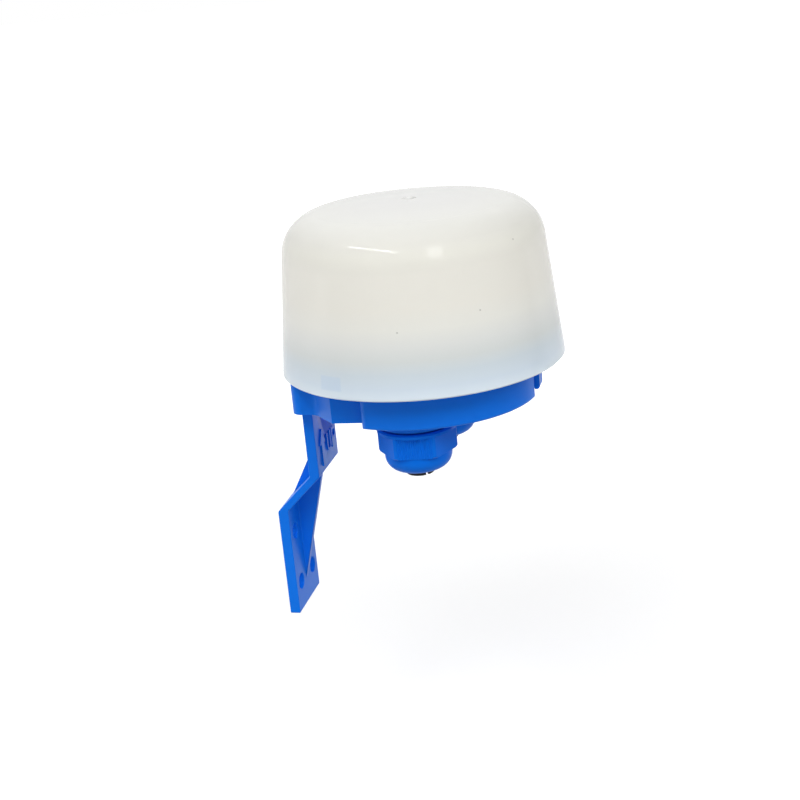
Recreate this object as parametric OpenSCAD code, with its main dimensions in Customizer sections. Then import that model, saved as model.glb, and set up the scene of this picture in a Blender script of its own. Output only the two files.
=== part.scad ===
// Photocell switch: a milky dome over a moulded base, held off the wall by a stepped bracket.
// The origin is the middle of the four wall screw holes, on the bracket's wall face.
// +X leaves the wall and +Z is up. Sizes are in millimetres.

/* [Placing] */
// Distance from the wall to the dome's axis
head_reach = 47.6; // [47.2:0.1:48]
// Height of the dome's rim above the middle of the wall holes
head_rise = 61.4; // [60:0.2:64]

/* [Dome] */
// Outer diameter of the dome at its rim
dome_d = 84; // [83.6:0.1:85]
// Height of the dome above its rim
dome_h = 48.2; // [46:0.2:54]
// Wall of the dome
dome_wall = 1.8; // [1.5:0.1:2]
// Lean of the dome's side, in degrees
dome_taper = 5.7; // [4:0.1:6]
// Radius of the dome's shoulder
shoulder_r = 12; // [8:0.5:14]
// Radius of the dome's crowned top
crown_r = 230; // [180:10:400]

/* [Base] */
// Diameter of the base's round tub
tub_d = 67.8; // [67:0.2:68.6]
// How far the tub hangs below the dome's rim
tub_drop = 11.2; // [10.6:0.1:11.6]
// Wall and floor of the tub
tub_wall = 2; // [1.6:0.1:2.2]
// Half width of the boss on the tub's wall side
boss_half = 25.9; // [25:0.1:27]
// Half width of the socket that takes the bracket
socket_half = 17.7; // [16:0.1:19]
// Distance from the dome's axis to the socket's end
socket_reach = 37.5; // [37.4:0.1:38]
// Width of the notch opposite the bracket
notch_w = 11.3; // [9:0.1:12]

/* [Bracket] */
// Width of the bracket
bracket_w = 22.3; // [20:0.1:24]
// Thickness of the bracket's plate
bracket_t = 3.2; // [2.8:0.1:3.2]
// Step from the wall plate to the upper plate
bracket_step = 11.3; // [11.2:0.1:11.6]
// Wall screw hole diameter
hole_d = 5; // [4:0.1:5.5]
// Screw hole spacing across the bracket
hole_across = 12.4; // [11:0.1:13]
// Screw hole spacing up the bracket
hole_up = 17.2; // [16:0.1:18]

/* [Cable glands] */
// Distance between the two gland axes
gland_pitch = 37; // [36:0.2:38]
// Gland nut size across its flats
nut_af = 20.2; // [19.8:0.1:20.2]
// How far the rear nut is backed off its thread
rear_slack = 2.2; // [0:0.2:3.4]
// Cable hole through the gland seal
cable_d = 6.4; // [5:0.1:6.6]

/* [Circuit] */
// Length of the circuit board
board_l = 54; // [53.6:0.1:55]
// Width of the circuit board
board_w = 24; // [23.6:0.1:25]

/* [Hidden] */
$fn = 96;
skin = 0.01;

// Dome section: the shoulder is tangent to the leaning side and to the crown
dome_r = dome_d / 2;
lean = tan(dome_taper);
crown_z = dome_h - crown_r;
side_start = dome_r - shoulder_r / cos(dome_taper);
half_b = side_start * lean + crown_z;
square_a = 1 + lean * lean;
rest_c = side_start * side_start + crown_z * crown_z - pow(crown_r - shoulder_r, 2);
shoulder_z = (half_b + sqrt(half_b * half_b - square_a * rest_c)) / square_a;
shoulder_x = side_start - shoulder_z * lean;
crown_way = [shoulder_x, shoulder_z - crown_z] / norm([shoulder_x, shoulder_z - crown_z]);
crown_edge = [0, crown_z] + (crown_r + 1) * crown_way;
rim_bevel = 0.5;

// Levels inside the dome's mouth, above the rim
flange_z = 3;
flange_t = 2;
flange_r = 39.2;
rim_gap = 0.4;
gasket_z = flange_z + flange_t;
gasket_h = 1.6;
collar_z = 13;
collar_r = 36.6;
collar_wall = 1.8;
ledge_z = gasket_z + gasket_h + 0.3;
ledge_h = 1.2;
lug_z = ledge_z + ledge_h + 0.3;
lug_h = 1.5;
lug_span = 16;
hook_z = lug_z + lug_h + 0.3;
hook_h = 1.6;
hook_span = 26;
hook_r = 38;
twist_count = 4;
twist_start = 64;

// Tub plan
tub_r = tub_d / 2;
tub_back = -12.5;
tub_corner = 3;
tub_edge = 0.8;
tub_floor = -tub_drop + tub_wall;
corner_x = tub_back + tub_corner;
corner_y = sqrt(pow(tub_r - tub_corner, 2) - corner_x * corner_x);
boss_x = -22.6;
slant_end = [-29.8, socket_half];
slant_way = ([boss_x, boss_half] - slant_end) / norm([boss_x, boss_half] - slant_end);
slant_turn = acos(-slant_way.x);
fillet_r = 4;
fillet_l = fillet_r / tan(slant_turn / 2);
socket_corner = 3.4;
cavity_back = -26.5;
notch_x = 29;
finger_x = 33.1;
finger_t = 1.5;
finger_w = 6;
finger_drop = 9.4;

// Bracket, in the row's own frame
plate_x = bracket_step;
wall_bottom = -17.5;
wall_bend = 16.8;
upper_bend = 27.9;
plate_top = head_rise + 1.2;
web_t = 2;
web_low = -9.7;
web_front = 12.05;
web_high = 36;
web_back = 2.05;
slot_gap = 0.1;
catch_z = head_rise - 5;
mark_height = 0.5;
mark_mid = 35.6;

// Glands, below the dome's rim
gland_x = 0.35;
gland_y = gland_pitch / 2;
spout_collar = 2.2;
spout_collar_r = 10.9;
spout_r = 7.4;
spout_bore = 5.5;
spout_end = -22.2;
slit_top = -17.6;
spout_slit = 1.2;
spout_taper = 4;
nut_top = -13.9;
nut_band = 1.3;
nut_band_r = 11.55;
hex_end = -21.6;
nut_end = -27.2;
nut_nose_r = 9.85;
nose_round = 4.4;
nut_bore = 7.7;
nut_mouth = 4.5;
nut_turn_front = 7.5;
nut_turn_rear = -11;
flute_count = 17;
flute_pitch = 0.6;
flute_r = 0.22;
seal_top = -15.2;
seal_shoulder = -25.6;
seal_end = -28.8;
seal_r = 5.4;
seal_lip_r = 4;
seal_slit = 0.9;
slit_turn = -47;

// Circuit board and what stands on it
board_z = 6;
board_t = 1.6;
board_top = board_z + board_t;
lead_r = 0.35;
lead_hole = 0.5;
lead_below = 1.2;
post_at = [24, 9.8];
post_r = 2.6;
screw_hole = 1.2;
screw_pilot = 0.9;
screw_shank = 0.8;
screw_head = 1.9;
terminal_at = [21.5, 0];
terminal_pitch = 5;
terminal_h = 10.4;
relay_at = [6.5, -3.9];
relay_size = [19, 15.4, 15.3];
film_at = [6, 7.85];
film_size = [18, 6.5, 13];
electrolytic_at = [-8, -7];
bridge_at = [-17.6, 7.6];
bridge_size = [8.4, 6.2, 3.3];
varistor_at = [-8.5, 8.5];
varistor_r = 4.5;
varistor_t = 3.4;
transistor_at = [-7, 1];
zener_at = [-20.5, -0.4];
cell_at = [-13.5, 1.5];
cell_z = board_top + 16.4;
cell_r = 2.55;
cell_h = 2;
resistor_at = [[-14.2, -6.5, 90], [-17, -6.5, 90], [-19.8, -6.5, 90], [-20.5, 2.1, 0]];
axial_span = 9;
terminal_leads = [for (i = [-1:1]) [0, i * terminal_pitch]];
relay_leads = [[-8, -6], [-8, 6], [8, 0], [2, -6], [2, 6]];
film_leads = [[-7.5, 0], [7.5, 0]];
electrolytic_leads = [[-1.75, 0], [1.75, 0]];
bridge_leads = [for (x = [-2.55, 2.55], y = [-2.4, 2.4]) [x, y]];
varistor_leads = [[-2.5, 0.6], [2.5, -0.6]];
transistor_leads = [for (i = [-1:1]) [i * 1.27, 0]];
cell_leads = [[0, -1.7], [0, 1.7]];
axial_leads = [[-axial_span / 2, 0], [axial_span / 2, 0]];

function placed(at, leads) = [for (p = leads) at + p];
function turned(p, a) = [p.x * cos(a) - p.y * sin(a), p.x * sin(a) + p.y * cos(a)];
all_leads = concat(placed(terminal_at, terminal_leads), placed(relay_at, relay_leads),
                   placed(film_at, film_leads), placed(electrolytic_at, electrolytic_leads),
                   placed(bridge_at, bridge_leads), placed(varistor_at, varistor_leads),
                   placed(transistor_at, transistor_leads), placed(zener_at, axial_leads),
                   placed(cell_at, cell_leads),
                   [for (r = resistor_at, p = axial_leads) [r.x, r.y] + turned(p, r.z)]);

// The dome's axis at the level of its rim
module head() { translate([head_reach, 0, head_rise]) children(); }

// On a nut's axis, on the near side (-1) or the far side (1), where the nut is backed off
module gland(side) { head() translate([gland_x, side * gland_y, side > 0 ? -rear_slack : 0]) children(); }

// A ring from inner radius to outer radius, between two levels
module ring(inner, outer, low, high) {
    translate([0, 0, low]) difference() {
        cylinder(r = outer, h = high - low);
        translate([0, 0, -1]) cylinder(r = inner, h = high - low + 2);
    }
}

// Part of a ring, centred on an angle
module ring_part(inner, outer, low, high, at, span) {
    rotate(at - span / 2) rotate_extrude(angle = span)
        translate([inner, low]) square([outer - inner, high - low]);
}

// Right half of the dome's section, set in from its outside
module dome_section(inset) {
    intersection() {
        union() {
            polygon([[0, 0], [dome_r - inset / cos(dome_taper), 0],
                     [shoulder_x + (shoulder_r - inset) * cos(dome_taper),
                      shoulder_z + (shoulder_r - inset) * sin(dome_taper)],
                     [shoulder_x, shoulder_z], crown_edge, [0, dome_h + 1]]);
            translate([shoulder_x, shoulder_z]) circle(r = shoulder_r - inset);
        }
        translate([0, crown_z]) circle(r = crown_r - inset, $fn = 360);
        square([dome_r + 1, dome_h + 1]);
    }
}

module dome_cover() {
    gate_r = 1.1;
    color("ivory") head() {
        difference() {
            rotate_extrude() difference() {
                dome_section(0);
                dome_section(dome_wall);
                translate([dome_r, 0]) rotate(45) square(rim_bevel * sqrt(2), center = true);
            }
            translate([0, 0, dome_h - 0.25]) difference() {
                cylinder(r = gate_r + 1, h = 1);
                translate([0, 0, -1]) cylinder(r = gate_r, h = 3);
            }
        }
        ring(collar_r + 0.5, dome_r - dome_wall - ledge_z * lean + 0.3, ledge_z, ledge_z + ledge_h);
        for (i = [0:twist_count - 1])
            ring_part(collar_r + 0.4, dome_r - dome_wall - lug_z * lean + 0.2, lug_z, lug_z + lug_h,
                      twist_start + i * 360 / twist_count, lug_span);
    }
}

module dome_gasket() {
    width = flange_r - collar_r - 0.6;
    color("lightgrey") head() rotate_extrude() translate([collar_r + 0.3, gasket_z]) {
        square([width, gasket_h - width / 2]);
        translate([width / 2, gasket_h - width / 2]) intersection() {
            circle(r = width / 2);
            translate([-width, -skin]) square(2 * width);
        }
    }
}

// Plan that cuts the round tub straight on the wall side and rounds its corners
module tub_plan() {
    corner = [corner_x, corner_y];
    mirrored = [corner_x, -corner_y];
    intersection() {
        translate([tub_back, -tub_r]) square(2 * tub_r);
        union() {
            polygon([mirrored - [tub_corner, 0], mirrored, 2 * mirrored, [2 * tub_r, -2 * tub_r],
                     [2 * tub_r, 2 * tub_r], 2 * corner, corner, corner - [tub_corner, 0]]);
            for (c = [corner, mirrored]) translate(c) circle(r = tub_corner + 2 * skin);
        }
    }
}

// Half of the boss plan on the wall side: wide, then slanting in to the bracket's socket
module boss_half_plan() {
    polygon([[0, -skin], [0, boss_half], [boss_x, boss_half], slant_end,
             [-socket_reach + socket_corner, socket_half], [-socket_reach, socket_half - socket_corner],
             [-socket_reach, -skin]]);
    translate([-socket_reach + socket_corner, socket_half - socket_corner]) circle(r = socket_corner);
    difference() {
        polygon([slant_end + [0, -skin], slant_end + fillet_l * slant_way, slant_end - [fillet_l, 0]]);
        translate(slant_end + [-fillet_l, fillet_r]) circle(r = fillet_r);
    }
}

module base_outside() {
    height = flange_z + tub_drop + skin;
    difference() {
        translate([0, 0, -tub_drop]) {
            intersection() {
                linear_extrude(height) tub_plan();
                rotate_extrude() {
                    square([tub_r - tub_edge, height]);
                    translate([0, tub_edge]) square([tub_r, height - tub_edge]);
                    translate([tub_r - tub_edge, tub_edge]) circle(r = tub_edge);
                }
            }
            linear_extrude(height) {
                boss_half_plan();
                mirror([0, 1]) boss_half_plan();
            }
        }
        ring(flange_r - rim_gap, dome_r, -rim_gap, flange_z + 1);
    }
    translate([0, 0, flange_z]) cylinder(r = flange_r, h = flange_t);
    ring(collar_r - collar_wall, collar_r, gasket_z - skin, collar_z);
    for (i = [0:twist_count - 1]) {
        middle = twist_start + i * 360 / twist_count;
        ring_part(collar_r - 0.2, hook_r, hook_z, hook_z + hook_h, middle, hook_span);
        ring_part(collar_r - 0.2, hook_r, lug_z, hook_z + skin, middle - hook_span / 2 + 1, 2);
    }
}

module base_cavity() {
    inner = boss_half - tub_wall;
    slant_in = boss_x + tub_wall / slant_way.y - tub_wall * slant_way.x / slant_way.y;
    back_y = inner - (slant_in - cavity_back) * slant_way.y / slant_way.x;
    difference() {
        translate([0, 0, tub_floor]) linear_extrude(gasket_z - tub_floor + 1) {
            intersection() {
                circle(r = tub_r - tub_wall);
                translate([tub_back + tub_wall, -tub_r]) square(2 * tub_r);
            }
            polygon([[0, inner], [slant_in, inner], [cavity_back, back_y],
                     [cavity_back, -back_y], [slant_in, -inner], [0, -inner]]);
        }
        translate([notch_x - tub_wall, -notch_w / 2 - tub_wall, -tub_drop])
            cube([tub_r, notch_w + 2 * tub_wall, tub_drop + flange_z + tub_wall]);
    }
}

// Threaded spout with split fingers that the nut closes on the seal
module spout() {
    translate([0, 0, -tub_drop - spout_collar]) cylinder(r = spout_collar_r, h = spout_collar + skin);
    difference() {
        translate([0, 0, spout_end]) {
            cylinder(r1 = spout_r - 0.8, r2 = spout_r, h = spout_taper);
            translate([0, 0, spout_taper]) cylinder(r = spout_r, h = -tub_drop - spout_end - spout_taper);
        }
        for (a = [0:60:120]) rotate(a) translate([-spout_r - 1, -spout_slit / 2, spout_end - 1])
            cube([2 * spout_r + 2, spout_slit, slit_top - spout_end + 1]);
    }
}

module base() {
    slot_w = bracket_w + 2 * slot_gap;
    slot_x = plate_x - head_reach - slot_gap;
    slot_t = bracket_t + 2 * slot_gap;
    color("royalblue") {
        head() {
            difference() {
                union() {
                    difference() {
                        base_outside();
                        base_cavity();
                        translate([notch_x, -notch_w / 2, -tub_drop - 1])
                            cube([tub_r, notch_w, tub_drop + flange_z + 1]);
                        translate([slot_x, -slot_w / 2, -tub_drop - 1])
                            cube([slot_t, slot_w, plate_top - head_rise + slot_gap + tub_drop + 1]);
                    }
                    for (side = [-1, 1]) translate([gland_x, side * gland_y, 0]) spout();
                }
                for (side = [-1, 1]) translate([gland_x, side * gland_y, spout_end - 1])
                    cylinder(r = spout_bore, h = tub_floor - spout_end + 2);
            }
            for (x = [-1, 1], y = [-1, 1]) translate([x * post_at.x, y * post_at.y, tub_floor - skin])
                difference() {
                    cylinder(r = post_r, h = board_z - tub_floor + skin);
                    translate([0, 0, 4]) cylinder(r = screw_pilot, h = board_z - tub_floor);
                }
            finger();
            // Catch that snaps into the bracket's window
            translate([slot_x + slot_t - 1.2, -1.8, -6]) cube([1.2 + skin, 3.6, 2]);
        }
    }
}

// Hanging finger in the notch, with its outer lower edge rounded
module finger() {
    translate([finger_x, finger_w / 2, -finger_drop]) rotate([90, 0, 0]) linear_extrude(finger_w) {
        translate([0, 0.9]) square([finger_t, finger_drop + flange_z - 0.9 + skin]);
        square([finger_t - 0.9, 1]);
        translate([finger_t - 0.9, 0.9]) circle(r = 0.9);
    }
}

// Side view of the bracket: wall plate, slanted step, upper plate
module bracket_side() {
    polygon([[0, wall_bottom], [bracket_t, wall_bottom], [bracket_t, wall_bend],
             [plate_x + bracket_t, upper_bend], [plate_x + bracket_t, plate_top], [plate_x, plate_top],
             [plate_x, upper_bend], [0, wall_bend]]);
}

// Thin webs that stiffen the step, one in front of it and one behind
module web_side() {
    slope = (upper_bend - wall_bend) / plate_x;
    front_z = wall_bend + (web_front - bracket_t) * slope;
    back_z = wall_bend + web_back * slope;
    polygon([[bracket_t - skin, web_low], [web_front, front_z], [web_front, front_z + 1],
             [bracket_t - skin, wall_bend + 1]]);
    polygon([[plate_x + skin, web_high], [web_back, back_z], [web_back, back_z - 1],
             [plate_x + skin, upper_bend - 1]]);
}

// Raised mark on the upper plate, an arrow and UP: x runs across the plate, y up it
module up_mark() {
    stroke = 0.9;
    translate([-5.3, 0])
        polygon([[-1.1, -5.7], [1.1, -5.7], [1.1, 1.3], [2.6, 1.3], [0, 5.9], [-2.6, 1.3], [-1.1, 1.3]]);
    translate([1.3, -1.3]) difference() {
        union() {
            translate([-2, 0]) square([4, 4.1]);
            circle(r = 2.02);
        }
        translate([stroke - 2, 0]) square([4 - 2 * stroke, 5]);
        circle(r = 2.02 - stroke);
    }
    translate([4.4, -3.4]) {
        square([stroke, 6.2]);
        translate([2.4, 4.22]) difference() {
            union() {
                translate([-2, -1.98]) square([2, 3.96]);
                circle(r = 2);
            }
            translate([-3, stroke - 1.98]) square([3, 3.96 - 2 * stroke]);
            circle(r = 2 - stroke);
        }
    }
}

module bracket() {
    color("royalblue") difference() {
        union() {
            translate([0, bracket_w / 2, 0]) rotate([90, 0, 0]) linear_extrude(bracket_w) bracket_side();
            translate([0, web_t / 2, 0]) rotate([90, 0, 0]) linear_extrude(web_t) web_side();
            translate([plate_x + bracket_t - skin, 0, mark_mid])
                rotate([90, 0, 90]) linear_extrude(mark_height + skin) up_mark();
        }
        for (y = [-1, 1], z = [-1, 1]) translate([-1, y * hole_across / 2, z * hole_up / 2])
            rotate([0, 90, 0]) cylinder(d = hole_d, h = bracket_t + 2);
        translate([plate_x - 1, -2.1, catch_z - 1.3]) cube([bracket_t + 2, 4.2, 2.6]);
    }
}

// Plan of the gland nut: a hexagon with fine flutes on every second flat
module nut_plan() {
    flat = nut_af / 2;
    difference() {
        circle(r = nut_af / sqrt(3), $fn = 6);
        for (a = [30:120:270], i = [0:flute_count - 1]) rotate(a)
            translate([flat + 0.08, (i - (flute_count - 1) / 2) * flute_pitch]) circle(r = flute_r, $fn = 24);
    }
}

// Gland nut: a round band, the hexagon and a rounded nose with the cable's mouth
module gland_nut(turn) {
    corner_r = nut_af / sqrt(3) - 0.2;
    difference() {
        union() {
            translate([0, 0, nut_top - nut_band]) {
                cylinder(r = nut_band_r, h = nut_band - 0.5);
                translate([0, 0, nut_band - 0.5]) cylinder(r1 = nut_band_r, r2 = nut_band_r - 0.5, h = 0.5);
            }
            rotate(turn) intersection() {
                translate([0, 0, hex_end]) linear_extrude(nut_top - nut_band - hex_end + 0.5) nut_plan();
                rotate_extrude() polygon([[0, hex_end], [corner_r - 0.4, hex_end], [corner_r, hex_end + 0.4],
                                          [corner_r, nut_top], [0, nut_top]]);
            }
            rotate_extrude() {
                translate([0, nut_end]) square([nut_nose_r - nose_round, hex_end - nut_end + 1]);
                translate([0, nut_end + nose_round]) square([nut_nose_r, hex_end - nut_end - nose_round + 1]);
                translate([nut_nose_r - nose_round, nut_end + nose_round]) circle(r = nose_round);
            }
        }
        translate([0, 0, -22.6]) cylinder(r = nut_bore, h = 10);
        translate([0, 0, -26]) cylinder(r1 = 5.7, r2 = nut_bore - 0.3, h = 3.4 + skin);
        translate([0, 0, nut_end - 1]) cylinder(r = nut_mouth, h = 3);
    }
}

// Rubber bush with a split lip that shows at the nut's mouth
module gland_seal(turn) {
    difference() {
        union() {
            translate([0, 0, seal_shoulder]) cylinder(r = seal_r, h = seal_top - seal_shoulder);
            translate([0, 0, seal_end]) cylinder(r = seal_lip_r, h = seal_shoulder - seal_end + skin);
        }
        translate([0, 0, seal_end - 1]) cylinder(d = cable_d, h = seal_top - seal_end + 2);
        rotate(turn) translate([0, -seal_slit / 2, seal_end - 1])
            cube([seal_r + 1, seal_slit, seal_shoulder - seal_end + 1]);
    }
}

module gland_nut_front() { color("royalblue") gland(-1) gland_nut(nut_turn_front); }
module gland_nut_rear() { color("royalblue") gland(1) gland_nut(nut_turn_rear); }
module gland_seal_front() { color("black") gland(-1) gland_seal(slit_turn); }
module gland_seal_rear() { color("black") gland(1) gland_seal(slit_turn + 180); }

module circuit_board() {
    color("tan") head() difference() {
        translate([-board_l / 2, -board_w / 2, board_z]) cube([board_l, board_w, board_t]);
        for (p = all_leads) translate([p.x, p.y, board_z - 1])
            cylinder(r = lead_hole, h = board_t + 2, $fn = 24);
        for (x = [-1, 1], y = [-1, 1]) translate([x * post_at.x, y * post_at.y, board_z - 1])
            cylinder(r = screw_hole, h = board_t + 2);
    }
}

module board_screws() {
    color("silver") head() for (x = [-1, 1], y = [-1, 1]) translate([x * post_at.x, y * post_at.y, 0]) {
        translate([0, 0, board_top - 7]) cylinder(r = screw_shank, h = 7 + skin);
        translate([0, 0, board_top]) difference() {
            cylinder(r1 = screw_head, r2 = screw_head - 0.5, h = 1.3);
            for (a = [0, 90]) rotate(a) translate([-1.1, -0.2, 0.6]) cube([2.2, 0.4, 1]);
        }
    }
}

// Leads from under the board up to a height above it
module leads(points, height) {
    for (p = points) translate([p.x, p.y, -board_t - lead_below])
        cylinder(r = lead_r, h = height + board_t + lead_below, $fn = 24);
}

// A place on top of the board
module on_board(at) { head() translate([at.x, at.y, board_top]) children(); }

// Front of a block with bevelled top corners
module bevelled_front(width, height, bevel) {
    polygon([[-width / 2, 0], [width / 2, 0], [width / 2, height - bevel], [width / 2 - bevel, height],
             [bevel - width / 2, height], [-width / 2, height - bevel]]);
}

// Block with all its top edges bevelled
module bevelled(size, bevel) {
    intersection() {
        translate([0, size.y / 2, 0]) rotate([90, 0, 0]) linear_extrude(size.y)
            bevelled_front(size.x, size.z, bevel);
        translate([-size.x / 2, 0, 0]) rotate([90, 0, 90]) linear_extrude(size.x)
            bevelled_front(size.y, size.z, bevel);
    }
}

module terminal_block() {
    depth = 8;
    color("seagreen") on_board(terminal_at) difference() {
        bevelled([depth, 3 * terminal_pitch, terminal_h], 0.8);
        for (p = terminal_leads) translate([0, p.y, 0]) {
            translate([-2.4, -1.9, 1.2]) cube([depth, 3.8, 5]);
            translate([0.3, 0, 5]) cylinder(r = 2, h = terminal_h);
            translate([0, 0, -1]) cylinder(r = lead_hole, h = 3, $fn = 24);
        }
    }
}

module terminal_cages() {
    color("gold") on_board(terminal_at) {
        leads(terminal_leads, 1.4 + skin);
        for (p = terminal_leads) translate([0, p.y, 1.4]) difference() {
            translate([-2, -1.7, 0]) cube([4.6, 3.4, 4.6]);
            translate([-3, -1.1, 0.6]) cube([7, 2.2, 2.6]);
            translate([0.3, 0, 2]) cylinder(r = 1.25, h = 4);
        }
    }
}

module terminal_screws() {
    color("silver") on_board(terminal_at) for (p = terminal_leads) translate([0.3, p.y, 0]) {
        translate([0, 0, 3.8]) cylinder(r = 1.1, h = 3);
        translate([0, 0, 6.4]) difference() {
            cylinder(r = 1.7, h = 1.8);
            translate([-2, -0.25, 1.1]) cube([4, 0.5, 1]);
        }
    }
}

module relay() {
    color("dimgrey") on_board(relay_at) {
        leads(relay_leads, skin);
        bevelled(relay_size, 0.6);
    }
}

module film_capacitor() {
    color("goldenrod") on_board(film_at) {
        leads(film_leads, skin);
        bevelled(film_size, 0.8);
    }
}

module electrolytic_capacitor() {
    can_r = 4;
    color("midnightblue") on_board(electrolytic_at) {
        leads(electrolytic_leads, 0.5 + skin);
        translate([0, 0, 0.5]) rotate_extrude() difference() {
            square([can_r, 12]);
            translate([can_r + 0.3, 1.7]) circle(r = 0.7);
            translate([can_r, 12]) rotate(45) square(0.8, center = true);
        }
    }
}

module bridge_rectifier() {
    color("dimgrey") on_board(bridge_at) {
        leads(bridge_leads, 1 + skin);
        translate([0, 0, 1]) bevelled(bridge_size, 0.5);
    }
}

module varistor() {
    lift = 2;
    color("steelblue") on_board(varistor_at) {
        leads(varistor_leads, lift + 1.5);
        translate([0, 0, lift + varistor_r]) rotate([90, 0, 0]) rotate_extrude() intersection() {
            translate([0, -varistor_t / 2]) square([varistor_r, varistor_t]);
            translate([varistor_r - 2.6, 0]) union() {
                circle(r = 2.6);
                translate([-varistor_r, -varistor_t]) square([varistor_r, 2 * varistor_t]);
            }
        }
    }
}

module transistor() {
    color("black") on_board(transistor_at) {
        leads(transistor_leads, 2.5 + skin);
        translate([0, 0, 2.5]) intersection() {
            cylinder(r = 2.3, h = 4.6);
            translate([-3, -1.5, 0]) cube([6, 5, 5]);
        }
    }
}

// Part lying on its bent leads, along X
module axial_part(body_l, body_r, end_r) {
    lift = end_r + 0.3;
    leads(axial_leads, lift);
    for (p = axial_leads) translate([p.x, 0, lift]) sphere(r = lead_r, $fn = 24);
    translate([-axial_span / 2, 0, lift]) rotate([0, 90, 0]) cylinder(r = lead_r, h = axial_span, $fn = 24);
    translate([-body_l / 2, 0, lift]) rotate([0, 90, 0]) {
        cylinder(r = body_r, h = body_l);
        for (z = [0, body_l - 1.6]) translate([0, 0, z]) cylinder(r = end_r, h = 1.6);
    }
}

module zener_diode() { color("orangered") on_board(zener_at) axial_part(4, 0.95, 0.95); }

module resistors() {
    color("burlywood") for (r = resistor_at) on_board([r.x, r.y]) rotate(r.z) axial_part(6.2, 1, 1.2);
}

// Light cell: a disc on two long leads, facing up into the dome
module light_cell() {
    color("darkorange") on_board(cell_at) {
        leads(cell_leads, cell_z - board_top + skin);
        translate([0, 0, cell_z - board_top]) intersection() {
            cylinder(r = cell_r, h = cell_h);
            translate([-cell_r + 0.35, -cell_r, 0]) cube([2 * cell_r - 0.7, 2 * cell_r, cell_h]);
        }
    }
}

dome_cover();
dome_gasket();
base();
bracket();
gland_nut_front();
gland_nut_rear();
gland_seal_front();
gland_seal_rear();
circuit_board();
board_screws();
terminal_block();
terminal_cages();
terminal_screws();
relay();
film_capacitor();
electrolytic_capacitor();
bridge_rectifier();
varistor();
transistor();
zener_diode();
resistors();
light_cell();
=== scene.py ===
import math
import bmesh
import bpy
from mathutils import Euler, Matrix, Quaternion, Vector


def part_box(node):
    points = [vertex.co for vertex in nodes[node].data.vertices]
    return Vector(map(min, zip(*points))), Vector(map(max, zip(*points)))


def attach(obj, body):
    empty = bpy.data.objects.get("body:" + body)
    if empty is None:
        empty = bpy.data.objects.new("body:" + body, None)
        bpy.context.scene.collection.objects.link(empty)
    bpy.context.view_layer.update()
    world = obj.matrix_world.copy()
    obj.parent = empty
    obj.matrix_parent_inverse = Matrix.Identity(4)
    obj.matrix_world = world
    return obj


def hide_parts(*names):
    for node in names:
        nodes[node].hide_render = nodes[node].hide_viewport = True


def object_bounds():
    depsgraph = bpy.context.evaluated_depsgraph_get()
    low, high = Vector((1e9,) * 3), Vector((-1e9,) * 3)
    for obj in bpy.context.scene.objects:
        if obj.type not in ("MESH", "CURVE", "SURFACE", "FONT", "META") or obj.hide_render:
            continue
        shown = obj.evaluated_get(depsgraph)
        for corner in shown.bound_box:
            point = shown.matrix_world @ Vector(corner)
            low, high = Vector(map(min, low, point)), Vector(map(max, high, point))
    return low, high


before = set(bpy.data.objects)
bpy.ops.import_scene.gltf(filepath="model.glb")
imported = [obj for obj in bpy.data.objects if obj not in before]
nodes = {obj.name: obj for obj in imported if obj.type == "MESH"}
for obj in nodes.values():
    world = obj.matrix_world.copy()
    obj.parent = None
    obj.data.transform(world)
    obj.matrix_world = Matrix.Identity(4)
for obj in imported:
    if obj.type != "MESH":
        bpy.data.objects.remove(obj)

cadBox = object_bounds()
mm = 0.001

# The dome's axis at the level of its rim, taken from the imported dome
domeLow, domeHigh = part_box("dome_cover")
head = Vector(((domeLow.x + domeHigh.x) / 2, (domeLow.y + domeHigh.y) / 2, domeLow.z))


def fromHead(x, y, z):
    return head + Vector((x, y, z)) * mm


# Small helpers for node trees

def srgb(red, green, blue):
    def linear(level):
        level /= 255
        return level / 12.92 if level <= 0.04045 else ((level + 0.055) / 1.055) ** 2.4
    return (linear(red), linear(green), linear(blue), 1.0)


def addNode(tree, kind, place, **settings):
    node = tree.nodes.new(kind)
    node.location = place
    for key, value in settings.items():
        setattr(node, key, value)
    return node


def fill(node, **values):
    for key, value in values.items():
        node.inputs[key.replace("_", " ")].default_value = value
    return node


def mathNode(tree, place, operation, *values):
    node = addNode(tree, "ShaderNodeMath", place, operation=operation)
    for socket, value in zip(node.inputs, values):
        feed(tree, socket, value)
    return node.outputs[0]


def feed(tree, socket, value):
    if isinstance(value, bpy.types.NodeSocket):
        tree.links.new(value, socket)
    else:
        socket.default_value = value


def newMaterial(name, **values):
    material = bpy.data.materials.new(name)
    material.use_nodes = True
    tree = material.node_tree
    shader = tree.nodes["Principled BSDF"]
    fill(shader, **values)
    return material, tree, shader


def rampNode(tree, place, stops, value, blend="LINEAR"):
    ramp = addNode(tree, "ShaderNodeValToRGB", place)
    ramp.color_ramp.interpolation = blend
    elements = ramp.color_ramp.elements
    while len(elements) < len(stops):
        elements.new(0.5)
    for element, (position, colour) in zip(elements, stops):
        element.position = position
        element.color = colour
    tree.links.new(value, ramp.inputs[0])
    return ramp.outputs[0]


def mixColour(tree, place, factor, first, second, blend="MIX"):
    mix = addNode(tree, "ShaderNodeMix", place, data_type="RGBA", blend_type=blend)
    for socket, value in zip((mix.inputs[0], mix.inputs[6], mix.inputs[7]), (factor, first, second)):
        feed(tree, socket, value)
    return mix.outputs[2]


def mixValue(tree, place, factor, first, second):
    mix = addNode(tree, "ShaderNodeMix", place, data_type="FLOAT")
    for socket, value in zip((mix.inputs[0], mix.inputs[2], mix.inputs[3]), (factor, first, second)):
        feed(tree, socket, value)
    return mix.outputs[0]


def between(tree, place, factor, low, high):
    return mathNode(tree, place, "MULTIPLY_ADD", factor, high - low, low)


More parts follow.
